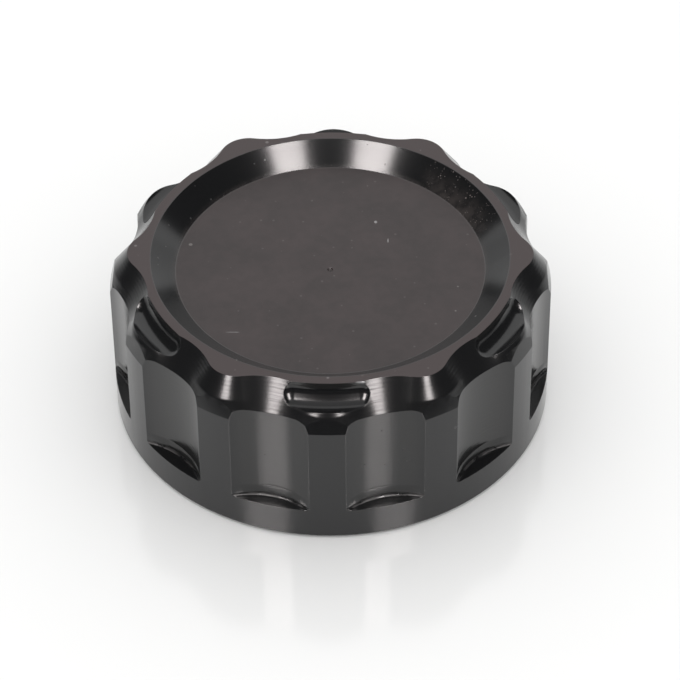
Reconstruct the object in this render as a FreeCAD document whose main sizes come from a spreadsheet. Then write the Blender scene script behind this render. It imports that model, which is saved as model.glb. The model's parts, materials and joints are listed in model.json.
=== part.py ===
import FreeCAD, Part
import math
import os

import Sketcher

# Screw-on cap for a brake fluid reservoir: a one-piece metal cap turned from bar and milled round
# its side and rim, with a moulded rubber diaphragm gasket resting against the roof of its underside.
# The cap stands on its open end, with its axis along +Z and the origin at the middle of that end.

# Driving sizes, in millimetres and degrees.
SIZES = {
    # Turned outside
    "cap_height": 24.2,
    "outer_radius": 30.0,
    "foot_chamfer": 0.4,
    "land_taper_depth": 5.1,
    "land_taper_angle": 14.5,
    # Dished top
    "recess_rim_radius": 24.3,
    "recess_floor_radius": 21.0,
    "recess_depth": 2.6,
    # Finger flutes down the side
    "flute_count": 12,
    "flute_depth": 1.9,
    "flute_cutter_radius": 10.9,
    "flute_cutter_corner": 0.4,
    "flute_floor_height": 5.0,
    # Wavy chamfer round the rim
    "scallop_centre_radius": 36.05,
    "scallop_radius": 10.7,
    "lobe_round_radius": 4.0,
    "rim_chamfer_angle": 35.0,
    # Troughs in the tip of every second lobe
    "trough_cutter_radius": 2.0,
    "trough_arc_radius": 27.62,
    "trough_sweep_angle": 18.6,
    "trough_ball_drop": 0.62,
    # Open underside
    "web_thickness": 3.6,
    "bore_radius": 24.0,
    "lead_in": 0.8,
    "relief_depth": 0.5,
    "relief_height": 3.0,
    # Rubber diaphragm gasket
    "gasket_clearance": 0.3,
    "gasket_flange_thickness": 2.0,
    "gasket_flange_width": 6.0,
    "membrane_thickness": 1.2,
    "fold_radius": 13.0,
    "fold_channel_radius": 1.6,
}

# Sizes that follow from the driving ones, as expressions for the sketches and features.
RECESS_FLOOR = "(sizes.cap_height - sizes.recess_depth)"
CEILING = f"({RECESS_FLOOR} - sizes.web_thickness)"
RELIEF_START = f"({CEILING} - sizes.relief_height)"
RELIEF_RADIUS = "(sizes.bore_radius + sizes.relief_depth)"
TAPER_START = "(sizes.cap_height - sizes.land_taper_depth)"
TAPER_INSET = "(sizes.land_taper_depth * tan(sizes.land_taper_angle * 1 deg))"
FLUTE_WALL = "(sizes.outer_radius - sizes.flute_depth)"
FLUTE_AXIS = f"({FLUTE_WALL} + sizes.flute_cutter_radius)"
HALF_PITCH = "(180 deg / sizes.flute_count)"
SCALLOP_LOW_POINT = "(sizes.scallop_centre_radius - sizes.scallop_radius)"
CHAMFER_DEPTH = f"((sizes.outer_radius - {SCALLOP_LOW_POINT}) / tan(sizes.rim_chamfer_angle * 1 deg))"
CLEARING_RADIUS = "(sizes.scallop_centre_radius + sizes.scallop_radius)"
TROUGH_BALL_HEIGHT = "(sizes.cap_height - sizes.trough_ball_drop)"
TROUGH_FOOT = f"({TROUGH_BALL_HEIGHT} - sizes.trough_cutter_radius)"
GASKET_RADIUS = f"({RELIEF_RADIUS} - sizes.gasket_clearance)"
FLANGE_INNER = f"({GASKET_RADIUS} - sizes.gasket_flange_width)"
FLANGE_UNDERSIDE = f"({CEILING} - sizes.gasket_flange_thickness)"
MEMBRANE_UNDERSIDE = f"({CEILING} - sizes.membrane_thickness)"
FOLD_ROLL_RADIUS = "(sizes.fold_channel_radius + sizes.membrane_thickness)"
FOLD_HALF_WIDTH = f"sqrt({FOLD_ROLL_RADIUS} ^ 2 - sizes.membrane_thickness ^ 2)"

UPWARD = FreeCAD.Vector(0, 0, 1)

doc = FreeCAD.newDocument("reservoir_cap")
sheet = doc.addObject("Spreadsheet::Sheet", "sizes")
for row, (alias, size) in enumerate(SIZES.items(), start=1):
    sheet.set(f"A{row}", alias.replace("_", " "))
    sheet.set(f"B{row}", str(size))
    sheet.setAlias(f"B{row}", alias)
doc.recompute()


def value(expression):
    """Return the number that an expression of sheet sizes stands for."""
    return float(sheet.evalExpression(expression.replace("sizes.", "")))


def origin_feature(body, role):
    """Return one of a body's own origin planes or axes."""
    return next(feature for feature in body.Origin.OriginFeatures if feature.Role == role)


def sketch_on(body, role, name):
    """Start a sketch on one of a body's origin planes."""
    sketch = body.newObject("Sketcher::SketchObject", name)
    sketch.AttachmentSupport = [(origin_feature(body, role), "")]
    sketch.MapMode = "FlatFace"
    return sketch


def swing_about_axis(sketch, angle):
    """Turn an upright sketch about the cap's axis, which is the sketch's own upright axis."""
    upright_turn = FreeCAD.Rotation(FreeCAD.Vector(0, 1, 0), 1)
    sketch.AttachmentOffset = FreeCAD.Placement(FreeCAD.Vector(), upright_turn)
    sketch.setExpression("AttachmentOffset.Rotation.Angle", angle)


def bind(sketch, constraint, expression):
    """Add a dimension to a sketch and tie it to the sheet."""
    index = sketch.addConstraint(constraint)
    sketch.setExpression(f"Constraints[{index}]", expression)


def place(sketch, edge, vertex, across, up):
    """Hold a point of a sketch at a distance across and up from the sketch's origin."""
    for kind, axis, distance in (("DistanceX", -2, across), ("DistanceY", -1, up)):
        if distance == "0":
            sketch.addConstraint(Sketcher.Constraint("PointOnObject", edge, vertex, axis))
        else:
            bind(sketch, Sketcher.Constraint(kind, -1, 1, edge, vertex, value(distance)), distance)


def set_radius(sketch, edge, radius):
    """Give an arc or circle of a sketch its radius."""
    bind(sketch, Sketcher.Constraint("Radius", edge, value(radius)), radius)


def point(across, up):
    """Return a sketch point from two expressions."""
    return FreeCAD.Vector(value(across), value(up), 0)


def draw_outline(sketch, corners, rounds=None):
    """Draw a closed outline through (across, up) corners.

    An edge runs from each corner to the next. It is straight, unless rounds gives that edge, by its
    first corner's place in the list, a radius and a point that its arc passes through.
    """
    rounds = rounds or {}
    points = [point(across, up) for across, up in corners]
    ends = []
    for edge, (start, end) in enumerate(zip(points, points[1:] + points[:1])):
        if edge in rounds:
            radius, through = rounds[edge]
            middle = point(*through)
            # Arcs count their ends anticlockwise, so one that runs clockwise is drawn from its end.
            if (middle - start).cross(end - middle).z > 0:
                sketch.addGeometry(Part.Arc(start, middle, end), False)
                ends.append((1, 2))
            else:
                sketch.addGeometry(Part.Arc(end, middle, start), False)
                ends.append((2, 1))
        else:
            sketch.addGeometry(Part.LineSegment(start, end), False)
            ends.append((1, 2))
    for edge, (across, up) in enumerate(corners):
        following = (edge + 1) % len(corners)
        meeting = Sketcher.Constraint("Coincident", edge, ends[edge][1], following, ends[following][0])
        sketch.addConstraint(meeting)
        place(sketch, edge, ends[edge][0], across, up)
    for edge, (radius, through) in rounds.items():
        set_radius(sketch, edge, radius)


def add_spindle(sketch, edge):
    """Mark a straight edge of an outline as the axis that a cutter turns on."""
    line = sketch.Geometry[edge]
    spindle = sketch.addGeometry(Part.LineSegment(line.StartPoint, line.EndPoint), True)
    for vertex in (1, 2):
        sketch.addConstraint(Sketcher.Constraint("Coincident", spindle, vertex, edge, vertex))


def spin(body, kind, name, sketch, axis="V_Axis"):
    """Make a feature by spinning an outline a whole turn about an axis of its sketch."""
    feature = body.newObject(f"PartDesign::{kind}", name)
    feature.Profile = sketch
    feature.ReferenceAxis = (sketch, [axis])
    feature.Angle = 360
    doc.recompute()
    return feature


def repeat_round(body, features, name, count):
    """Repeat features evenly round the cap's axis."""
    pattern = body.newObject("PartDesign::PolarPattern", name)
    pattern.Originals = features
    pattern.Axis = (origin_feature(body, "Z_Axis"), [""])
    pattern.Angle = 360
    pattern.setExpression("Occurrences", count)
    body.Tip = pattern
    doc.recompute()


def turn_blank(body):
    """Turn the cap's round form: dished top, tapered shoulder, foot and bore."""
    sketch = sketch_on(body, "XZ_Plane", "turned_profile")
    draw_outline(sketch, [
        ("0", RECESS_FLOOR),
        ("sizes.recess_floor_radius", RECESS_FLOOR),
        ("sizes.recess_rim_radius", "sizes.cap_height"),
        (f"sizes.outer_radius - {TAPER_INSET}", "sizes.cap_height"),
        ("sizes.outer_radius", TAPER_START),
        ("sizes.outer_radius", "sizes.foot_chamfer"),
        ("sizes.outer_radius - sizes.foot_chamfer", "0"),
        ("sizes.bore_radius + sizes.lead_in", "0"),
        ("sizes.bore_radius", "sizes.lead_in"),
        ("sizes.bore_radius", RELIEF_START),
        (RELIEF_RADIUS, RELIEF_START),
        (RELIEF_RADIUS, CEILING),
        ("0", CEILING),
    ])
    spin(body, "Revolution", "turned_blank", sketch)


def mill_flutes(body):
    """Sink an upright cutter with a rounded corner into the side, once between each pair of lobes."""
    floor = "sizes.flute_floor_height"
    corner = "sizes.flute_cutter_corner"
    inset = f"{corner} * (1 - sqrt(0.5))"
    sketch = sketch_on(body, "XZ_Plane", "flute_cutter")
    swing_about_axis(sketch, HALF_PITCH)
    outline = [
        (FLUTE_AXIS, floor),
        (FLUTE_AXIS, "sizes.cap_height"),
        (FLUTE_WALL, "sizes.cap_height"),
        (FLUTE_WALL, f"{floor} + {corner}"),
        (f"{FLUTE_WALL} + {corner}", floor),
    ]
    corner_middle = (f"{FLUTE_WALL} + {inset}", f"{floor} + {inset}")
    draw_outline(sketch, outline, {3: (corner, corner_middle)})
    add_spindle(sketch, 0)
    flute = spin(body, "Groove", "flute", sketch, "Axis0")
    repeat_round(body, [flute], "flutes", "sizes.flute_count")


def chamfer_rim(body):
    """Run a tapered cutter round the rim on a wavy path: a scallop at each flute, a round at each lobe."""
    count = int(value("sizes.flute_count"))
    half_pitch = math.pi / count
    scallop_reach = value("sizes.scallop_centre_radius")
    scallop_radius = value("sizes.scallop_radius")
    round_radius = value("sizes.lobe_round_radius")
    # The round's centre lies on the lobe's middle line, where the round just touches both scallops.
    centre_gap = scallop_radius + round_radius
    lobe_reach = scallop_reach * math.cos(half_pitch)
    lobe_reach -= math.sqrt(centre_gap ** 2 - (scallop_reach * math.sin(half_pitch)) ** 2)
    sketch = sketch_on(body, "XY_Plane", "rim_wave")
    sketch.setExpression("AttachmentOffset.Base.z", "sizes.cap_height")
    for lobe in range(count):
        lobe_turn = 2 * lobe * half_pitch
        scallop_turn = lobe_turn + half_pitch
        lobe_way = FreeCAD.Vector(math.cos(lobe_turn), math.sin(lobe_turn), 0)
        scallop_way = FreeCAD.Vector(math.cos(scallop_turn), math.sin(scallop_turn), 0)
        lobe_centre = lobe_way * lobe_reach
        scallop_centre = scallop_way * scallop_reach
        lean = (scallop_centre - lobe_centre).getAngle(lobe_centre)
        spread = (lobe_centre - scallop_centre).getAngle(-scallop_centre)
        inward = scallop_turn + math.pi
        round_circle = Part.Circle(lobe_centre, UPWARD, round_radius)
        scallop_circle = Part.Circle(scallop_centre, UPWARD, scallop_radius)
        sketch.addGeometry(Part.ArcOfCircle(round_circle, lobe_turn - lean, lobe_turn + lean), False)
        sketch.addGeometry(Part.ArcOfCircle(scallop_circle, inward - spread, inward + spread), False)
    clearing_circle = Part.Circle(FreeCAD.Vector(), UPWARD, value(CLEARING_RADIUS))
    clearing = sketch.addGeometry(clearing_circle, False)
    sketch.addConstraint(Sketcher.Constraint("Coincident", clearing, 3, -1, 1))
    set_radius(sketch, clearing, CLEARING_RADIUS)
    for lobe_round in range(0, 2 * count, 2):
        scallop = lobe_round + 1
        next_round = (lobe_round + 2) % (2 * count)
        across = f"sizes.scallop_centre_radius * cos({scallop} * {HALF_PITCH})"
        up = f"sizes.scallop_centre_radius * sin({scallop} * {HALF_PITCH})"
        place(sketch, scallop, 3, across, up)
        set_radius(sketch, scallop, "sizes.scallop_radius")
        set_radius(sketch, lobe_round, "sizes.lobe_round_radius")
        sketch.addConstraint(Sketcher.Constraint("Tangent", lobe_round, 2, scallop, 2))
        sketch.addConstraint(Sketcher.Constraint("Tangent", scallop, 1, next_round, 1))
    chamfer = body.newObject("PartDesign::Pocket", "rim_chamfer")
    chamfer.Profile = sketch
    chamfer.setExpression("Length", CHAMFER_DEPTH)
    chamfer.setExpression("TaperAngle", "sizes.rim_chamfer_angle")
    doc.recompute()


def mill_troughs(body):
    """Lead a ball-nosed cutter along a short arc in the tip of every second lobe."""
    reach = "sizes.trough_arc_radius"
    radius = "sizes.trough_cutter_radius"
    near = f"{reach} - {radius}"
    far = f"{reach} + {radius}"
    inset = f"{radius} * sqrt(0.5)"
    ball_near_side = (f"{reach} - {inset}", f"{TROUGH_BALL_HEIGHT} - {inset}")
    ball_far_side = (f"{reach} + {inset}", f"{TROUGH_BALL_HEIGHT} - {inset}")
    sketch = sketch_on(body, "YZ_Plane", "trough_section")
    section = [
        (near, TROUGH_BALL_HEIGHT),
        (reach, TROUGH_FOOT),
        (far, TROUGH_BALL_HEIGHT),
        (far, "sizes.cap_height"),
        (near, "sizes.cap_height"),
    ]
    draw_outline(sketch, section, {0: (radius, ball_near_side), 1: (radius, ball_far_side)})
    sweep = spin(body, "Groove", "trough_sweep", sketch)
    sweep.Midplane = True
    sweep.setExpression("Angle", "sizes.trough_sweep_angle")
    doc.recompute()
    features = [sweep]
    for end, side in (("first", "-"), ("last", "")):
        sketch = sketch_on(body, "YZ_Plane", f"trough_{end}_cutter")
        swing_about_axis(sketch, f"{side}sizes.trough_sweep_angle / 2 * 1 deg")
        cutter = [
            (reach, "sizes.cap_height"),
            (reach, TROUGH_FOOT),
            (far, TROUGH_BALL_HEIGHT),
            (far, "sizes.cap_height"),
        ]
        draw_outline(sketch, cutter, {1: (radius, ball_far_side)})
        add_spindle(sketch, 0)
        features.append(spin(body, "Groove", f"trough_{end}_end", sketch, "Axis0"))
    repeat_round(body, features, "troughs", "sizes.flute_count / 2")


def make_cap():
    """Make the cap from its turned blank."""
    body = doc.addObject("PartDesign::Body", "cap_body")
    turn_blank(body)
    mill_flutes(body)
    chamfer_rim(body)
    mill_troughs(body)
    return body


def make_gasket():
    """Mould the rubber gasket: a flat sealing flange, one rolled fold and a flat middle."""
    body = doc.addObject("PartDesign::Body", "diaphragm_gasket")
    sketch = sketch_on(body, "XZ_Plane", "moulded_profile")
    channel = "sizes.fold_channel_radius"
    outline = [
        ("0", MEMBRANE_UNDERSIDE),
        (f"sizes.fold_radius - {FOLD_HALF_WIDTH}", MEMBRANE_UNDERSIDE),
        (f"sizes.fold_radius + {FOLD_HALF_WIDTH}", MEMBRANE_UNDERSIDE),
        (FLANGE_INNER, MEMBRANE_UNDERSIDE),
        (FLANGE_INNER, FLANGE_UNDERSIDE),
        (GASKET_RADIUS, FLANGE_UNDERSIDE),
        (GASKET_RADIUS, CEILING),
        (f"sizes.fold_radius + {channel}", CEILING),
        ("sizes.fold_radius", f"{CEILING} - {channel}"),
        (f"sizes.fold_radius - {channel}", CEILING),
        ("0", CEILING),
    ]
    inset = f"{channel} * sqrt(0.5)"
    roll_foot = ("sizes.fold_radius", f"{CEILING} - {FOLD_ROLL_RADIUS}")
    channel_far_side = (f"sizes.fold_radius + {inset}", f"{CEILING} - {inset}")
    channel_near_side = (f"sizes.fold_radius - {inset}", f"{CEILING} - {inset}")
    draw_outline(sketch, outline, {
        1: (FOLD_ROLL_RADIUS, roll_foot),
        7: (channel, channel_far_side),
        8: (channel, channel_near_side),
    })
    spin(body, "Revolution", "moulded_gasket", sketch)
    return body


pieces = [make_cap(), make_gasket()]
doc.recompute()
for item in doc.Objects:
    if "Invalid" in item.State or "Error" in item.State:
        raise RuntimeError(f"{item.Name} failed: {item.getStatusString()}")
for piece in pieces:
    if piece.Shape.isNull() or not piece.Shape.isValid():
        raise RuntimeError(f"{piece.Label} has no valid shape")

os.makedirs("parts", exist_ok=True)
for piece in pieces:
    piece.Shape.exportStep(f"parts/{piece.Label}.step")
    print(piece.Label, round(piece.Shape.Volume, 1), "mm3 in", len(piece.Shape.Solids), "solid")
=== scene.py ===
# %% [markdown]
# # Looks of a black anodised reservoir cap
# The cap is turned and milled from an aluminium bar and dyed black by anodising. Its shape comes from
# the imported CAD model, which is loaded first and never moved. This lesson adds what CAD leaves out:
# the finish, the fine cutter marks, a screw thread in the bore, a floor, light and a camera.

# %% Load the frame
import json
import math

import bpy
from mathutils import Matrix, Vector


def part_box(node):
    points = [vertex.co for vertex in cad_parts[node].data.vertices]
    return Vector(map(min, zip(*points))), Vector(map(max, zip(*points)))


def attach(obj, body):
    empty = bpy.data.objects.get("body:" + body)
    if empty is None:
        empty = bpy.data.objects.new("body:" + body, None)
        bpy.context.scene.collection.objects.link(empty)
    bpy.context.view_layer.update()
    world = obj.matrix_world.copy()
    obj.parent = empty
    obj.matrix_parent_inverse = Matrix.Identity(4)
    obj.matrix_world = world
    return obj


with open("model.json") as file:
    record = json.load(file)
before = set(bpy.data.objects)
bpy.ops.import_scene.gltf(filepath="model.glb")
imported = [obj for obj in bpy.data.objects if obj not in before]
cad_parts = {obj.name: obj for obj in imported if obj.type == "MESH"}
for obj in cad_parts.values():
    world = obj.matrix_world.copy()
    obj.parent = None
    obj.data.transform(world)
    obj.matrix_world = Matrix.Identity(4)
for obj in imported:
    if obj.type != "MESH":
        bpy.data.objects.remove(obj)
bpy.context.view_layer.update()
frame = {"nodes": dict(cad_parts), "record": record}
MM = 0.001
cap_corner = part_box("cap_body")[1]
cap_height = cap_corner.z / MM
outer_radius = cap_corner.x / MM
print(f"cap: {2 * outer_radius:.1f} mm across, {cap_height:.1f} mm high; nodes {sorted(frame['nodes'])}")

# %% [markdown]
# ## The camera
# The photograph was taken from close to the front, looking down at a little over forty degrees, with a
# long lens that keeps the sides of the cap nearly parallel. A camera could be aimed with a constraint,
# but three plain turns say the same and stay readable: swing, tilt and roll.

# %% Camera
CAMERA_PLACE = Vector((8.76, -335.74, 320.08)) * MM
CAMERA_SWING = math.radians(1.29)
CAMERA_LOOK_DOWN = math.radians(42.89)
CAMERA_ROLL = math.radians(-0.665)
CAMERA_LENS = 175.35
CAMERA_SENSOR = 36.0

camera_data = bpy.data.cameras.new("photo_camera")
camera_data.lens = CAMERA_LENS
camera_data.sensor_width = CAMERA_SENSOR
camera = bpy.data.objects.new("photo_camera", camera_data)
tilt = Matrix.Rotation(math.pi / 2 - CAMERA_LOOK_DOWN, 4, "X")
swing = Matrix.Rotation(CAMERA_SWING, 4, "Z")
roll = Matrix.Rotation(CAMERA_ROLL, 4, "Z")
camera.matrix_world = Matrix.Translation(CAMERA_PLACE) @ swing @ tilt @ roll
bpy.context.scene.collection.objects.link(camera)
bpy.context.scene.camera = camera
bpy.context.scene.view_settings.view_transform = "Standard"
print(f"camera {CAMERA_PLACE.length / MM:.0f} mm from the cap")

# %% [markdown]
# ## Small helpers for shader nodes
# A material in Blender is a graph of nodes. Building one in Python takes many lines of the same kind, so
# a few helpers keep the recipes below short: one adds a node and fills its inputs, the others do sums.
# An input takes either a plain value or the output of another node.


# %% Node helpers
def add_node(tree, kind, inputs=None, **settings):
    """Add a node, set its options, and fill its inputs with values or with other nodes' outputs."""
    node = tree.nodes.new(kind)
    for option, setting in settings.items():
        setattr(node, option, setting)
    for name, value in (inputs or {}).items():
        if isinstance(value, bpy.types.NodeSocket):
            tree.links.new(value, node.inputs[name])
        else:
            node.inputs[name].default_value = value
    return node


def calc(tree, operation, first, second=0.0):
    """Return the result of one sum on two numbers."""
    return add_node(tree, "ShaderNodeMath", {0: first, 1: second}, operation=operation).outputs[0]


def chain(tree, operation, first, *others):
    """Return the result of the same sum done along a row of numbers."""
    for other in others:
        first = calc(tree, operation, first, other)
    return first


def times(tree, *factors):
    """Return the product of some numbers."""
    return chain(tree, "MULTIPLY", *factors)


def largest(tree, *values):
    """Return the largest of some numbers."""
    return chain(tree, "MAXIMUM", *values)


def vector_calc(tree, operation, inputs):
    """Return the result of one sum on vectors."""
    node = add_node(tree, "ShaderNodeVectorMath", inputs, operation=operation)
    return node.outputs["Value" if operation == "LENGTH" else "Vector"]


print("helpers for nodes and sums")

# %% [markdown]
# ## Masks and mixes
# Most of a finish is a question of where: a mask is a number that is 0 where an effect is absent and 1
# where it is full. These helpers turn a measure, such as a height, into a mask, and mix numbers or
# colours by one. Soft edges on the masks keep hard steps out of the picture.


# %% Mask helpers
def step(tree, value, start, end):
    """Return 0 below start and 1 above end, with a soft rise between them; end may be the lower one."""
    inputs = {"Value": value, "From Min": start, "From Max": end}
    return add_node(tree, "ShaderNodeMapRange", inputs, interpolation_type="SMOOTHSTEP").outputs[0]


def between(tree, value, low, high, soft):
    """Return 1 where a value lies between two limits, and 0 outside them."""
    rises = step(tree, value, low - soft, low + soft)
    falls = step(tree, value, high + soft, high - soft)
    return times(tree, rises, falls)


def mix_number(tree, mask, here, there):
    """Return here where the mask is 0 and there where it is 1."""
    inputs = {"Value": mask, "To Min": here, "To Max": there}
    return add_node(tree, "ShaderNodeMapRange", inputs).outputs[0]


def mix_colour(tree, mask, here, there):
    """Return one colour where the mask is 0 and another where it is 1."""
    node = add_node(tree, "ShaderNodeMix", data_type="RGBA")
    for socket, value in zip((node.inputs[0], node.inputs[6], node.inputs[7]), (mask, here, there)):
        if isinstance(value, bpy.types.NodeSocket):
            tree.links.new(value, socket)
        else:
            socket.default_value = value
    return node.outputs[2]


print("helpers for masks and mixes")

# %% [markdown]
# ## Node groups
# An effect that several materials share is built once as a node group, which then works like one node
# with named inputs and outputs. Two helpers start such a group and place it in a material.

# %% Group helpers
NUMBER = "NodeSocketFloat"
VECTOR = "NodeSocketVector"


def start_group(name, inputs, outputs):
    """Start a node group with named inputs and outputs, and return it with its two end nodes."""
    group = bpy.data.node_groups.new(name, "ShaderNodeTree")
    for label, kind in inputs:
        group.interface.new_socket(name=label, in_out="INPUT", socket_type=kind)
    for label, kind in outputs:
        group.interface.new_socket(name=label, in_out="OUTPUT", socket_type=kind)
    return group, group.nodes.new("NodeGroupInput"), group.nodes.new("NodeGroupOutput")


def use_group(tree, group, inputs=None):
    """Place a group in a tree and return its outputs."""
    return add_node(tree, "ShaderNodeGroup", inputs, node_tree=group).outputs


print("helpers for groups")

# %% [markdown]
# ## Where a point lies on the cap
# On a turned part nearly everything follows the distance from the axis and the height above the foot.
# Texture coordinates of the object are in metres here, and this group turns them into millimetres, so
# that all later sizes read as they would on a drawing. Every material uses it.

# %% Place on the cap
place_group, entry, leave = start_group(
    "place_on_cap", [], [("Point", VECTOR), ("Radius", NUMBER), ("Height", NUMBER)])
in_metres = add_node(place_group, "ShaderNodeTexCoord").outputs["Object"]
in_mm = vector_calc(place_group, "SCALE", {0: in_metres, "Scale": 1 / MM})
split = add_node(place_group, "ShaderNodeSeparateXYZ", {0: in_mm}).outputs
level_part = add_node(place_group, "ShaderNodeCombineXYZ", {"X": split["X"], "Y": split["Y"]}).outputs[0]
reach = vector_calc(place_group, "LENGTH", {0: level_part})
for label, measure in (("Point", in_mm), ("Radius", reach), ("Height", split["Z"])):
    place_group.links.new(measure, leave.inputs[label])
print("group place_on_cap: point, radius and height in millimetres")

# %% [markdown]
# ## Cutter marks
# A lathe tool leaves rings and a milling cutter leaves lines. Seen across the marks, both are an uneven
# row of ridges, so one group makes them from a single number: the distance along the row. Noise in one
# dimension is uneven in the right way, where a sine wave would look like a machine-made pattern.

# %% Cutter marks
marks_group, entry, leave = start_group(
    "cutter_marks", [("Along", NUMBER), ("Pitch", NUMBER)], [("Ridge", NUMBER)])
row = calc(marks_group, "DIVIDE", entry.outputs["Along"], entry.outputs["Pitch"])
row_noise = {"W": row, "Scale": 1.0, "Detail": 2.0}
ridges = add_node(marks_group, "ShaderNodeTexNoise", row_noise, noise_dimensions="1D")
marks_group.links.new(ridges.outputs[0], leave.inputs["Ridge"])
print("group cutter_marks: one uneven row of ridges")

# %% [markdown]
# ## Specks of dust
# A cap from a workshop shelf carries specks of dust. They are the cells of a Voronoi texture: a random
# number keeps only a share of the cells, and a second one gives each kept speck its own size. Metal and
# rubber both use this group.

# %% Dust specks
SMALLEST_SPECK, BIGGEST_SPECK = 0.05, 0.16
SPECK_EDGE = (1.0, 0.6)

dust_group, entry, leave = start_group(
    "dust_specks", [("Point", VECTOR), ("Spacing", NUMBER), ("Share", NUMBER)], [("Mask", NUMBER)])
per_mm = calc(dust_group, "DIVIDE", 1.0, entry.outputs["Spacing"])
cell_inputs = {"Vector": entry.outputs["Point"], "Scale": per_mm}
cells = add_node(dust_group, "ShaderNodeTexVoronoi", cell_inputs).outputs
chance = add_node(dust_group, "ShaderNodeSeparateColor", {0: cells["Color"]}).outputs
kept = calc(dust_group, "LESS_THAN", chance[0], entry.outputs["Share"])
speck_size = mix_number(dust_group, chance[1], SMALLEST_SPECK, BIGGEST_SPECK)
inside = step(dust_group, calc(dust_group, "DIVIDE", cells["Distance"], speck_size), *SPECK_EDGE)
dust_group.links.new(times(dust_group, inside, kept), leave.inputs["Mask"])
print("group dust_specks: scattered specks of uneven size")

# %% [markdown]
# ## Uneven tone
# Neither dyed metal nor rubber is one even tone. Wide soft noise gives patches of any width, again for
# both materials.

# %% Soft patches
PATCH_EDGE = (0.35, 0.65)

patch_group, entry, leave = start_group(
    "soft_patches", [("Point", VECTOR), ("Width", NUMBER)], [("Mask", NUMBER)])
per_mm = calc(patch_group, "DIVIDE", 1.0, entry.outputs["Width"])
cloud_inputs = {"Vector": entry.outputs["Point"], "Scale": per_mm, "Detail": 3.0}
clouds = add_node(patch_group, "ShaderNodeTexNoise", cloud_inputs)
patch_group.links.new(step(patch_group, clouds.outputs[0], *PATCH_EDGE), leave.inputs["Mask"])
print("group soft_patches: patches of a chosen width")

# %% [markdown]
# ## Marks at one place
# The cap has a short scratch on its top, a nick on the rim and a chip by the front trough, where bright
# metal shows through the dye. Each is an oval around one point, so a group measures the distance from
# that point in units of the oval's own half sizes. A patch of dirt and a dent are found the same way.

# %% Oval mark
OVAL_EDGE = (1.15, 0.6)

spot_group, entry, leave = start_group(
    "oval_mark", [("Point", VECTOR), ("Middle", VECTOR), ("Half size", VECTOR)], [("Mask", NUMBER)])
offset = vector_calc(spot_group, "SUBTRACT", {0: entry.outputs["Point"], 1: entry.outputs["Middle"]})
ratio = vector_calc(spot_group, "DIVIDE", {0: offset, 1: entry.outputs["Half size"]})
distance = vector_calc(spot_group, "LENGTH", {0: ratio})
spot_group.links.new(step(spot_group, distance, *OVAL_EDGE), leave.inputs["Mask"])
print("group oval_mark: an oval mask round a point")

# %% [markdown]
# ## Zones of the cap
# Each cut on the cap has its own sheen: the floor of the dish is satin, the cone round it and the wavy
# chamfer are nearly mirrors. Painting the mesh would work too, but the cuts differ in slope and place, so
# masks from the surface normal, the radius and the height find them without touching the CAD mesh. The
# sizes are those of the CAD model, in millimetres and degrees. A rise is the upward part of the normal:
# 1 on a level face and 0 on an upright one.

# %% Measures for the zones
DISH_FLOOR_RADIUS = 21.0
DISH_RIM_RADIUS = 24.3
DISH_DEPTH = 2.6
CHAMFER_ANGLE = 35.0
LEDGE_HEIGHT = 5.0
LOBES = 12
FLUTE_FADE = 1.2
RISE_MARGIN = 0.06
LEVEL_RISE = (0.9, 0.98)
UPRIGHT_RISE = (-0.1, 0.1)
SIDE_RISE = (-0.1, 0.3)
CORNER_RISE = (0.08, 0.9)
LOBE_WAVE = (-0.7, 0.9)

chamfer_rise = math.sin(math.radians(CHAMFER_ANGLE))
dish_wall_rise = math.cos(math.atan2(DISH_DEPTH, DISH_RIM_RADIUS - DISH_FLOOR_RADIUS))
ZONES = ("Dish floor", "Dish wall", "Rim", "Chamfer", "Side", "Ledge", "Flute corner", "Flute", "Upright",
         "Lobe foot")
zone_group, entry, leave = start_group("cap_zones", [], [(label, NUMBER) for label in ZONES])
place = use_group(zone_group, place_group)
normal = add_node(zone_group, "ShaderNodeNewGeometry").outputs["True Normal"]
upward = add_node(zone_group, "ShaderNodeSeparateXYZ", {0: normal}).outputs["Z"]


def rising(rise):
    """Return a mask of the faces whose normal has a rise."""
    return between(zone_group, upward, rise - RISE_MARGIN, rise + RISE_MARGIN, soft=0.01)


print(f"rise of the chamfer {chamfer_rise:.2f}, of the dish wall {dish_wall_rise:.2f}")

# %% [markdown]
# ## One mask for each cut
# The masks combine a rise with a place: the same rise in the dish and on the outside are different
# cuts. The lobes follow the angle round the axis, so a cosine with one wave for each lobe finds them.

# %% Zones
level = step(zone_group, upward, *LEVEL_RISE)
upright = between(zone_group, upward, *UPRIGHT_RISE, soft=0.02)
corner_faces = between(zone_group, upward, *CORNER_RISE, soft=0.03)
low_down = step(zone_group, place["Height"], LEDGE_HEIGHT + 2, LEDGE_HEIGHT + 1)
in_dish = step(zone_group, place["Radius"], DISH_RIM_RADIUS + 0.1, DISH_RIM_RADIUS)
outside_dish = calc(zone_group, "SUBTRACT", 1.0, in_dish)
at_top = step(zone_group, place["Height"], cap_height - 0.1, cap_height - 0.05)
sunk = step(zone_group, place["Radius"], outer_radius, outer_radius - FLUTE_FADE)
across = add_node(zone_group, "ShaderNodeSeparateXYZ", {0: place["Point"]}).outputs
angle_round = calc(zone_group, "ARCTAN2", across["Y"], across["X"])
lobe_wave = calc(zone_group, "COSINE", times(zone_group, angle_round, LOBES))
on_lobe = step(zone_group, lobe_wave, *LOBE_WAVE)
chamfer_faces = rising(chamfer_rise)
zone_masks = (
    times(zone_group, level, in_dish),
    times(zone_group, rising(dish_wall_rise), in_dish),
    times(zone_group, level, at_top, outside_dish),
    times(zone_group, chamfer_faces, outside_dish),
    between(zone_group, upward, *SIDE_RISE, soft=0.02),
    times(zone_group, level, low_down),
    times(zone_group, corner_faces, low_down),
    times(zone_group, upright, sunk),
    upright,
    times(zone_group, chamfer_faces, on_lobe),
)
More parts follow.
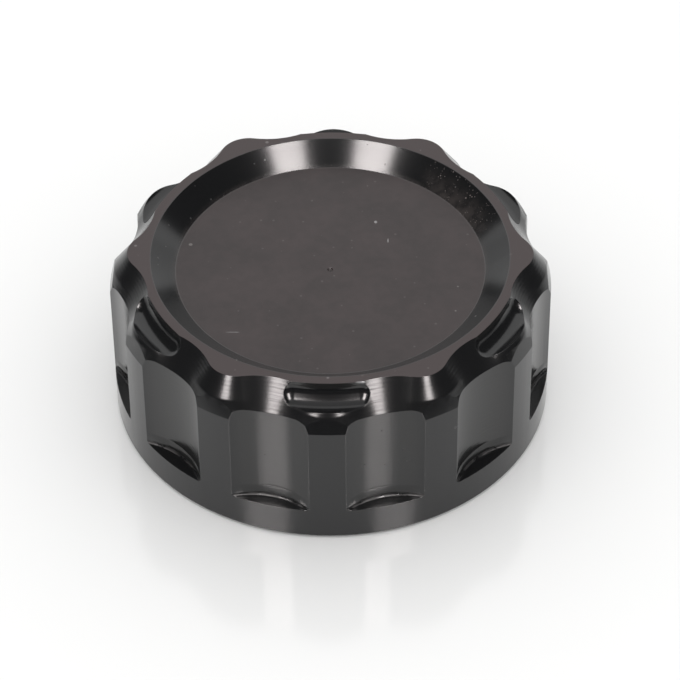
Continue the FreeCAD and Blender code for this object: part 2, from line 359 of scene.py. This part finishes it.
for label, mask in zip(ZONES, zone_masks):
    zone_group.links.new(mask, leave.inputs[label])
print("zones:", ", ".join(ZONES))

# %% [markdown]
# ## Black anodised aluminium
# Anodising grows a thin clear skin of oxide on the metal, and the dye in it swallows the light, so the cap
# reflects like black glass and not like bare metal. That calls for a dark base with an ordinary sheen and
# no metallic share, except in the worn spots. On the top the dye has browned and faded in patches. The two
# sharp rings of the dish get a paler grey painted into the colour, a painted highlight that stands for the
# glint of light on their edges.

# %% Dye
BLACK_DYE = (0.009, 0.0092, 0.0098, 1.0)
BROWNED_DYE = (0.017, 0.0075, 0.0075, 1.0)
FADED_DYE = (0.033, 0.0185, 0.0185, 1.0)
MILLED_DYE = (0.015, 0.015, 0.015, 1.0)
EDGE_GLINT_GREY = (0.05, 0.046, 0.046, 1.0)
EDGE_GLINT_HALF_WIDTH = 0.05
PATCH_WIDTH, BLOTCH_WIDTH = 7.0, 1.3
PATCH_FADING, BLOTCH_FADING = 0.45, 0.3


def new_material(name):
    """Start a material with an empty graph, and return it with its tree and its output node."""
    material = bpy.data.materials.new(name)
    material.use_nodes = True
    tree = material.node_tree
    tree.nodes.clear()
    return material, tree, tree.nodes.new("ShaderNodeOutputMaterial")


anodised, tree, output = new_material("black_anodised")
place = use_group(tree, place_group)
zone = use_group(tree, zone_group)
point, radius = place["Point"], place["Radius"]
patches = use_group(tree, patch_group, {"Point": point, "Width": PATCH_WIDTH})["Mask"]
blotches = use_group(tree, patch_group, {"Point": point, "Width": BLOTCH_WIDTH})["Mask"]
mottle = calc(tree, "ADD", times(tree, patches, PATCH_FADING), times(tree, blotches, BLOTCH_FADING))
faded = largest(tree, mottle, zone["Rim"])
level_top = largest(tree, zone["Dish floor"], zone["Rim"])
whole_top = largest(tree, zone["Dish floor"], zone["Dish wall"], zone["Rim"])
# Painted highlight: a paler grey on the two thin edge rings of the dish, for the glint of light on them.
floor_ring_glint, rim_ring_glint = (between(tree, radius, ring - EDGE_GLINT_HALF_WIDTH, ring + EDGE_GLINT_HALF_WIDTH, soft=0.06)
                        for ring in (DISH_FLOOR_RADIUS, DISH_RIM_RADIUS))
dye = mix_colour(tree, zone["Flute"], BLACK_DYE, MILLED_DYE)
dye = mix_colour(tree, level_top, dye, mix_colour(tree, faded, BROWNED_DYE, FADED_DYE))
dye = mix_colour(tree, times(tree, largest(tree, floor_ring_glint, rim_ring_glint), whole_top), dye, EDGE_GLINT_GREY)
print("dye: black, milled, browned and faded")

# %% [markdown]
# ## Dust and dirt on the metal
# Fine and coarse specks lie all over, and most of them on the top. At the back right of the dish, grains
# of dried dirt cling to the wall and thicken to a pale veil at its foot. A few sizes of speck laid over
# each other look more like real dirt than one size does. Each layer of dust has a spacing, the share of
# cells that hold a speck, and a strength.

# %% Dust and dirt
DUST_GREY = (0.30, 0.285, 0.275, 1.0)
DIRT_BROWN = (0.23, 0.185, 0.17, 1.0)
DIRTY_PLACE = (18.5, 14.0, 23.0)
DIRTY_HALF_SIZE = (7.0, 9.0, 2.5)
DIRT_SPACINGS = (0.45, 0.55, 0.8, 1.1)
GRAIN_SHARE = 0.95
GRAIN_STRENGTH = 0.5
VEIL_THIN, VEIL_THICK = 0.05, 0.13
CORNER_DIRT = 0.35
DUST_LAYERS = ((1.4, 0.5, 0.12), (2.4, 0.2, 0.35))
DUST_OFF_TOP = 0.25


def specks(spacing, share):
    """Return a mask of specks on the metal."""
    return use_group(tree, dust_group, {"Point": point, "Spacing": spacing, "Share": share})["Mask"]


def oval(middle, half_size):
    """Return an oval mask on the metal."""
    return use_group(tree, spot_group, {"Point": point, "Middle": middle, "Half size": half_size})["Mask"]


fine_layer, coarse_layer = (times(tree, specks(spacing, share), strength)
                            for spacing, share, strength in DUST_LAYERS)
dust = times(tree, largest(tree, fine_layer, coarse_layer), mix_number(tree, whole_top, DUST_OFF_TOP, 1.0))
wall_foot = step(tree, radius, DISH_RIM_RADIUS, DISH_FLOOR_RADIUS)
grime = times(tree, mix_number(tree, blotches, VEIL_THIN, VEIL_THICK), wall_foot)
for spacing in DIRT_SPACINGS:
    grime = largest(tree, grime, times(tree, specks(spacing, GRAIN_SHARE), GRAIN_STRENGTH))
dish_corner = between(tree, radius, DISH_FLOOR_RADIUS - 0.3, DISH_FLOOR_RADIUS + 0.4, soft=0.2)
dirty_here = largest(tree, oval(DIRTY_PLACE, DIRTY_HALF_SIZE), times(tree, dish_corner, CORNER_DIRT))
dirt = times(tree, grime, dirty_here, zone["Dish wall"])
print(f"dust in {len(DUST_LAYERS)} layers, dirt in {len(DIRT_SPACINGS)}")

# %% [markdown]
# ## Worn spots
# Where the dye is scratched through, bare aluminium shows. Only these spots get a metallic share, broken
# up by the blotches, because a scratch is never even along its length.

# %% Worn spots and skin colour
BARE_METAL = (0.82, 0.82, 0.83, 1.0)
MOST_WORN, LEAST_WORN = 0.6, 0.2
WORN_SPOTS = {
    "scratch on the dish floor": ((-12.8, -13.05, 21.6), (1.0, 0.055, 0.4)),
    "bright speck on the dish floor": ((6.1, 9.4, 21.6), (0.22, 0.3, 0.4)),
    "hooked scratch on the dish floor": ((7.8, 5.5, 21.6), (0.06, 0.5, 0.4)),
    "nick on the rim": ((4.5, -25.4, 24.2), (0.8, 0.3, 0.3)),
    "chip on the trough's lip": ((2.0, -28.2, 22.0), (0.5, 0.2, 0.3)),
}

worn = largest(tree, *(oval(middle, half_size) for middle, half_size in WORN_SPOTS.values()))
worn = times(tree, worn, mix_number(tree, blotches, MOST_WORN, LEAST_WORN))
colour = mix_colour(tree, dust, dye, DUST_GREY)
colour = mix_colour(tree, dirt, colour, DIRT_BROWN)
colour = mix_colour(tree, worn, colour, BARE_METAL)
print("worn:", ", ".join(WORN_SPOTS))

# %% [markdown]
# ## Sheen of each cut
# A cut's sheen is its roughness: low on the mirror-like chamfer and sides, higher on the satin floor of
# the dish. The value starts as that of the troughs, which no zone covers, and each zone then puts its own
# in place. Dust and dirt are matt wherever they lie.

# %% Sheen
TROUGH_ROUGHNESS = 0.18
DUST_ROUGHNESS = 0.8
ROUGHNESS = {
    "Dish floor": 0.34, "Dish wall": 0.15, "Rim": 0.32, "Chamfer": 0.2, "Side": 0.12, "Ledge": 0.24,
    "Flute corner": mix_number(tree, blotches, 0.2, 0.6)}

roughness = TROUGH_ROUGHNESS
for label, amount in ROUGHNESS.items():
    roughness = mix_number(tree, zone[label], roughness, amount)
roughness = mix_number(tree, largest(tree, dust, dirt), roughness, DUST_ROUGHNESS)
print(f"sheens on {len(ROUGHNESS)} zones")

# %% [markdown]
# ## Marks and soft forms in the skin
# Cutter marks are a few microns high, far too fine for a mesh, so they only tilt the normal through a
# Bump node: rings on the turned faces, level lines on the milled ones. The same relief softens three
# forms that reflect too hard when sharp: the chamfer rolls over at the foot of each lobe, the flutes run
# out in a small cove, and their walls are a little flatter. Heights are in microns.

# %% Relief
RIDGE_MICRONS = {"Dish floor": 1.0, "Dish wall": 1.2, "Rim": 1.0, "Chamfer": 10.0, "Flute": 9.0}
MILLED_ZONES = ("Chamfer", "Flute")
RING_PITCH, LINE_PITCH = 0.45, 0.34
CENTRE_DENT = (0.0, -0.5, 21.6)
CENTRE_DENT_HALF_SIZE = (0.35, 0.35, 0.4)
CENTRE_DENT_MICRONS = -220.0
LOBE_FOOT_HEIGHT, ROUND_OVER = 21.64, 0.33
COVE_TOP, COVE_SLOPE = 6.9, 0.25
FLUTE_FLATTENING = 0.3
LEAN_EASE = 0.25
MICRONS_PER_MM = 1000.0


def leaning_below(height, slope):
    """Return a relief in microns that is level above a height and leans by a slope below it."""
    below = largest(tree, calc(tree, "SUBTRACT", height, place["Height"]), 0.0)
    eased = calc(tree, "SQRT", calc(tree, "ADD", times(tree, below, below), LEAN_EASE ** 2))
    return times(tree, calc(tree, "SUBTRACT", eased, LEAN_EASE), MICRONS_PER_MM * slope)


rings = use_group(tree, marks_group, {"Along": radius, "Pitch": RING_PITCH})["Ridge"]
lines = use_group(tree, marks_group, {"Along": place["Height"], "Pitch": LINE_PITCH})["Ridge"]
sunk_depth = calc(tree, "SUBTRACT", outer_radius, radius)
heights = [times(tree, lines if label in MILLED_ZONES else rings, microns, zone[label])
           for label, microns in RIDGE_MICRONS.items()]
heights += [
    times(tree, oval(CENTRE_DENT, CENTRE_DENT_HALF_SIZE), CENTRE_DENT_MICRONS),
    times(tree, leaning_below(LOBE_FOOT_HEIGHT, -ROUND_OVER), zone["Lobe foot"]),
    times(tree, leaning_below(COVE_TOP, COVE_SLOPE), zone["Flute"]),
    times(tree, sunk_depth, MICRONS_PER_MM * FLUTE_FLATTENING, zone["Upright"]),
]
relief = chain(tree, "ADD", *heights)
print(f"relief from {len(heights)} marks and forms")

# %% [markdown]
# ## The finished skin
# The Principled shader takes the dye, the worn metal, the sheen and the relief. Its refractive index is
# that of a sealed oxide skin. A Bevel node rounds the edges for the light alone, so the CAD mesh keeps
# its true sharp corners.

# %% Anodised skin
OXIDE_IOR = 1.55
MICRON = 0.001 * MM
EDGE_BREAK = 0.12 * MM
EDGE_SAMPLES = 6

soft_edges = add_node(tree, "ShaderNodeBevel", {"Radius": EDGE_BREAK}, samples=EDGE_SAMPLES).outputs[0]
bump = add_node(tree, "ShaderNodeBump", {"Height": relief, "Distance": MICRON, "Normal": soft_edges})
skin = add_node(tree, "ShaderNodeBsdfPrincipled", {
    "Base Color": colour, "Metallic": worn, "Roughness": roughness, "IOR": OXIDE_IOR,
    "Normal": bump.outputs[0]})
tree.links.new(skin.outputs[0], output.inputs["Surface"])
frame["nodes"]["cap_body"].material_slots[0].material = anodised
print(f"anodised skin of {len(tree.nodes)} nodes on the cap")

# %% [markdown]
# ## Moulded rubber
# The gasket under the roof of the cap is pressed in a turned mould, so it is matt, a little uneven in tone
# and carries faint rings. The same groups as on the metal make it, with their own values.

# %% Rubber finish
RUBBER = (0.022, 0.022, 0.023, 1.0)
BLOOMED_RUBBER = (0.045, 0.045, 0.046, 1.0)
RUBBER_IOR = 1.5
RUBBER_ROUGHNESS = (0.55, 0.7)
BLOOM_WIDTH = 5.0
RUBBER_DUST_SPACING, RUBBER_DUST_SHARE = 1.1, 0.15
MOULD_RING_PITCH = 0.8
MOULD_RING_MICRONS = 12.0

rubber, tree, output = new_material("moulded_rubber")
place = use_group(tree, place_group)
patches = use_group(tree, patch_group, {"Point": place["Point"], "Width": BLOOM_WIDTH})["Mask"]
dust = use_group(tree, dust_group, {
    "Point": place["Point"], "Spacing": RUBBER_DUST_SPACING, "Share": RUBBER_DUST_SHARE})["Mask"]
colour = mix_colour(tree, dust, mix_colour(tree, patches, RUBBER, BLOOMED_RUBBER), DUST_GREY)
rings = use_group(tree, marks_group, {"Along": place["Radius"], "Pitch": MOULD_RING_PITCH})["Ridge"]
bump = add_node(tree, "ShaderNodeBump", {
    "Height": times(tree, rings, MOULD_RING_MICRONS), "Distance": MICRON})
skin = add_node(tree, "ShaderNodeBsdfPrincipled", {
    "Base Color": colour, "Roughness": mix_number(tree, patches, *RUBBER_ROUGHNESS), "IOR": RUBBER_IOR,
    "Normal": bump.outputs[0]})
tree.links.new(skin.outputs[0], output.inputs["Surface"])
frame["nodes"]["diaphragm_gasket"].material_slots[0].material = rubber
print(f"rubber finish of {len(tree.nodes)} nodes on the gasket")

# %% [markdown]
# ## Path of the screw thread
# The cap screws onto the neck of the reservoir. The CAD model keeps a plain bore at the thread's widest
# radius, and the ridge of the thread is added here, because a helix makes a heavy solid and carries no
# part of the cap's outline. A Screw modifier could spin the ridge, but a loop can also let it fade out
# at both ends, as a real thread does where the cutter leaves the metal.

# %% Thread path
neck_thread = next(mount for mount in frame["record"]["mounts"] if mount["name"] == "neck_thread")
BORE_RADIUS = neck_thread["dims"]["r_mm"]
RIDGE_DEPTH = 1.15
THREAD_PITCH = 3.0
THREAD_START = 1.9
THREAD_END = 14.0
CREST_HALF_WIDTH = 0.25
ROOT_HALF_WIDTH = 1.2
ROOT_OVERLAP = 0.05
STEPS_PER_TURN = 120
FADE_TURNS = 0.3

root_radius = BORE_RADIUS + ROOT_OVERLAP
turns = (THREAD_END - THREAD_START) / THREAD_PITCH
steps = round(turns * STEPS_PER_TURN)
corners = []
for index in range(steps + 1):
    turn = index / STEPS_PER_TURN
    fade = min(1.0, turn / FADE_TURNS, (steps / STEPS_PER_TURN - turn) / FADE_TURNS)
    crest_radius = root_radius - (RIDGE_DEPTH + ROOT_OVERLAP) * max(fade, 0.0)
    middle = THREAD_START + THREAD_PITCH * turn
    angle = 2 * math.pi * turn
    section = ((root_radius, -ROOT_HALF_WIDTH), (crest_radius, -CREST_HALF_WIDTH),
               (crest_radius, CREST_HALF_WIDTH), (root_radius, ROOT_HALF_WIDTH))
    for reach, rise in section:
        corners.append(Vector((reach * math.cos(angle), reach * math.sin(angle), middle + rise)) * MM)
print(f"thread: {turns:.1f} turns of {THREAD_PITCH} mm pitch in a bore of {BORE_RADIUS} mm radius")

# %% [markdown]
# ## Mesh of the screw thread
# Four corners at each step make the section of the ridge. Faces join each section to the next, and one
# face closes each end, so the ridge is a closed body. It rides on the cap and shares its finish.

# %% Thread ridge
sides = []
for first in range(0, 4 * steps, 4):
    for side in range(4):
        following = (side + 1) % 4
        sides.append((first + side, first + following, first + 4 + following, first + 4 + side))
sides.append((3, 2, 1, 0))
sides.append(tuple(4 * steps + corner for corner in range(4)))
ridge_mesh = bpy.data.meshes.new("neck_thread_ridge")
ridge_mesh.from_pydata(corners, [], sides)
ridge_mesh.materials.append(anodised)
ridge = bpy.data.objects.new("neck_thread_ridge", ridge_mesh)
bpy.context.scene.collection.objects.link(ridge)
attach(ridge, "root")
print(f"thread ridge of {len(sides)} faces")

# %% [markdown]
# ## Table and room
# The cap stands on a pale, slightly glossy table in a bright room. A black glossy thing shows little but
# reflections: the room behind gives the grey of the top, and the table lights the fluted side from below.
# A plain white world is enough for the room, and one big square is enough for the table. It lies a hair
# under the foot, so that no two faces share a plane.

# %% Table and room
ROOM_WHITE = (0.98, 0.98, 0.98, 1.0)
ROOM_STRENGTH = 1.15
TABLE_WHITE = (0.92, 0.92, 0.915, 1.0)
TABLE_ROUGHNESS = 0.15
TABLE_IOR = 1.7
TABLE_SIDE = 12.0
TABLE_GAP = 0.05 * MM

world = bpy.data.worlds.new("bright_room")
world.use_nodes = True
world.node_tree.nodes["Background"].inputs["Color"].default_value = ROOM_WHITE
world.node_tree.nodes["Background"].inputs["Strength"].default_value = ROOM_STRENGTH
bpy.context.scene.world = world


def flat_finish(name, kind, inputs):
    """Make a material of a single shader."""
    material, tree, output = new_material(name)
    tree.links.new(add_node(tree, kind, inputs).outputs[0], output.inputs["Surface"])
    return material


def add_stage_mesh(name, points, faces, material):
    """Add a mesh that belongs to the studio and not to the cap."""
    mesh = bpy.data.meshes.new(name)
    mesh.from_pydata(points, [], faces)
    mesh.materials.append(material)
    piece = bpy.data.objects.new(name, mesh)
    bpy.context.scene.collection.objects.link(piece)
    return piece


half = TABLE_SIDE / 2
table_corners = [(x, y, -TABLE_GAP) for x, y in ((-half, -half), (half, -half), (half, half), (-half, half))]
table_finish = flat_finish("pale_table", "ShaderNodeBsdfPrincipled", {
    "Base Color": TABLE_WHITE, "Roughness": TABLE_ROUGHNESS, "IOR": TABLE_IOR})
add_stage_mesh("table", table_corners, [(0, 1, 2, 3)], table_finish)
print(f"table {TABLE_SIDE:.0f} m wide")

# %% [markdown]
# ## Lamps
# Two tall soft lamps on either side of the camera make the bright bars on the wavy chamfer and on the
# cone of the dish. They lean apart at the top, as lamps on stands do. The bright room alone lights the
# table, so the lamps are left out of diffuse light: they serve the reflections, and the soft shadow stays
# close to the foot of the cap.

# %% Lamps
LAMP_DISTANCE = 0.9
LAMP_RISE = 44.0
LAMP_LENGTH = 0.73
LAMP_RADIANCE = 18.0
LAMP_TINT = (1.0, 0.94, 0.93)
LAMPS = {"left_lamp": (-33.5, 8.0, 0.25), "right_lamp": (33.0, -8.0, 0.22)}


def from_front(distance, swing, rise):
    """Return a point by its distance, its swing to the right of the camera's side and its height angle."""
    swing, rise = math.radians(swing), math.radians(rise)
    level_distance = distance * math.cos(rise)
    return Vector((level_distance * math.sin(swing), -level_distance * math.cos(swing),
                   distance * math.sin(rise)))


for name, (swing, lean, width) in LAMPS.items():
    lamp_data = bpy.data.lights.new(name, "AREA")
    lamp_data.shape = "RECTANGLE"
    lamp_data.color = LAMP_TINT
    lamp_data.size = width
    lamp_data.size_y = LAMP_LENGTH
    lamp_data.energy = LAMP_RADIANCE * math.pi * width * LAMP_LENGTH
    lamp = bpy.data.objects.new(name, lamp_data)
    lamp.location = from_front(LAMP_DISTANCE, swing, LAMP_RISE)
    aimed = lamp.location.to_track_quat("Z", "Y").to_matrix()
    lamp.rotation_euler = (aimed @ Matrix.Rotation(math.radians(lean), 3, "Z")).to_euler()
    lamp.visible_camera = False
    lamp.visible_diffuse = False
    bpy.context.scene.collection.objects.link(lamp)
    print(f"{name}: {lamp_data.energy:.1f} W")

# %% [markdown]
# ## Cards round the set
# The room is dark on the camera's side and greyer than the table elsewhere. A photographer shapes such
# reflections with black and grey cards, and so does this scene. The cards are bowed sheets far outside the
# picture, and a flat one lies on the table in front. Only glossy light sees them, so the chamfer stays
# black between the lamps while the table stays white.

# %% Cards
CARD_DISTANCE = 1.3
CARD_PARTS = 16
BLACK_CARD = 0.015
CARDS = {
    "dark_front_card": (BLACK_CARD, (-126, 126), (0.5, 67)),
    "low_back_card": (0.72, (126, 234), (0.5, 20)),
    "high_back_card": (1.04, (126, 234), (20, 67)),
    "ceiling_card": (0.54, (0, 360), (67, 89)),
}
MAT_NEAR, MAT_FAR = 0.085, 1.25
MAT_HEIGHT = 0.0005


def spread(low, high):
    """Return evenly spaced values from low to high."""
    return [low + (high - low) * part / CARD_PARTS for part in range(CARD_PARTS + 1)]


def add_card(name, tone, swings, rows):
    """Add a bowed card of an even grey through rows of points, each row at a distance and height angle."""
    points = [from_front(distance, swing, rise) for distance, rise in rows for swing in swings]
    row_length = len(swings)
    faces = []
    for row_start in range(0, row_length * (len(rows) - 1), row_length):
        for first in range(row_start, row_start + row_length - 1):
            faces.append((first, first + 1, first + 1 + row_length, first + row_length))
    finish = flat_finish(name, "ShaderNodeEmission", {"Color": (tone, tone, tone, 1.0)})
    card = add_stage_mesh(name, points, faces, finish)
    card.visible_camera = False
    card.visible_diffuse = False
    card.visible_shadow = False
    print(f"{name}: {len(faces)} faces")
    return card


for name, (tone, swings, rises) in CARDS.items():
    add_card(name, tone, spread(*swings), [(CARD_DISTANCE, rise) for rise in spread(*rises)])
mat = add_card("dark_lying_card", BLACK_CARD, spread(-70, 70), [(MAT_NEAR, 0), (MAT_FAR, 0)])
mat.location.z = MAT_HEIGHT

# %% [markdown]
# The last line brings every placement in the scene up to date.

# %% Last update
bpy.context.view_layer.update()
